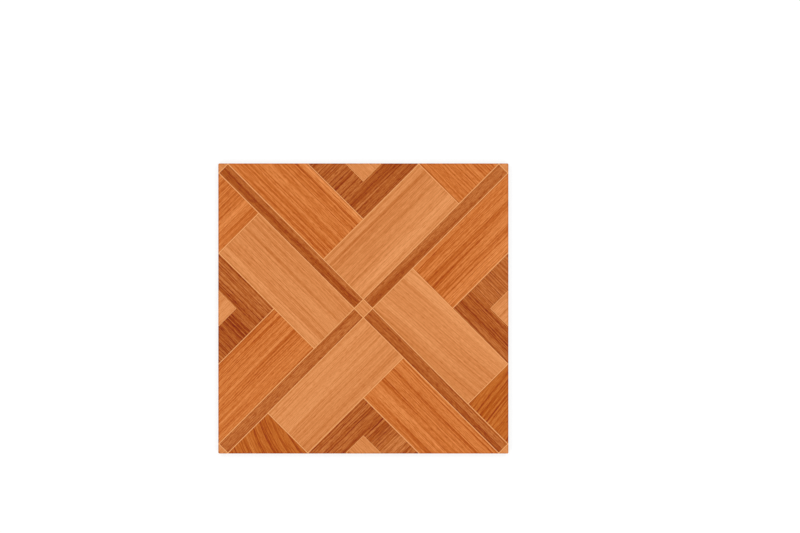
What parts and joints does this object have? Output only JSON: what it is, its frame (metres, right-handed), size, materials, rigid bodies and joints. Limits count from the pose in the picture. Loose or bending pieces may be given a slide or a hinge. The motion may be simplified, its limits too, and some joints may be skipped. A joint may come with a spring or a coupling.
{
  "type": "wood-look floor tile",
  "caption": "Square glazed ceramic floor tile with a printed parquet face, rounded arris and a back pressed into a grid of shallow cells, for covering floors.",
  "frame": {"origin": "middle of the back, in the plane of the back's ribs", "axes": "+Z out of the walking face, +X and +Y along the tile's edges"},
  "size_m": [0.396, 0.396, 0.008],
  "materials": {
    "glazed_tile": "satin"
  },
  "bodies": {
    "root": {"floor_tile": "glazed_tile"}
  },
  "joints": []
}
